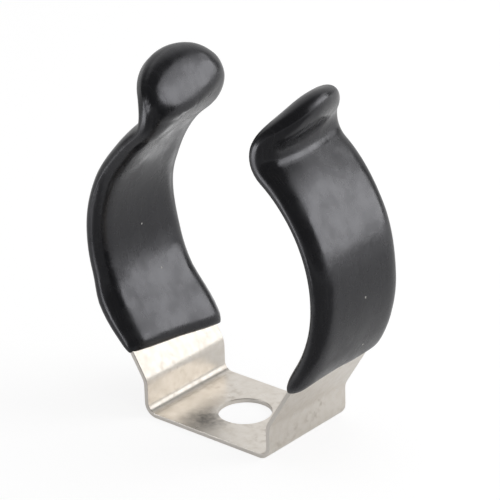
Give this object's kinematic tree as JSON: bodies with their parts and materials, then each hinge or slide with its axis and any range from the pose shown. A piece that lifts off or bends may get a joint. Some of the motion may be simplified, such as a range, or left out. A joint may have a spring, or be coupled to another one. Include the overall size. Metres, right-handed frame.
{
  "type": "terry clip",
  "caption": "Spring tool clip folded from plated steel strip, screwed down through its base, with curved arms in black vinyl sleeves and turned-out lips that guide a tube into the grip.",
  "frame": {"origin": "centre of the fixing hole, on the underside of the base", "axes": "+Z out of the mouth, away from the surface that the clip is screwed to; +Y along the tube that is gripped; X across the mouth"},
  "size_m": [0.0328, 0.0138, 0.0397],
  "materials": {
    "plated_steel": "polished",
    "black_vinyl": "satin"
  },
  "bodies": {
    "root": {"spring_strip": "plated_steel", "left_vinyl_sleeve": "black_vinyl", "right_vinyl_sleeve": "black_vinyl"}
  },
  "joints": []
}
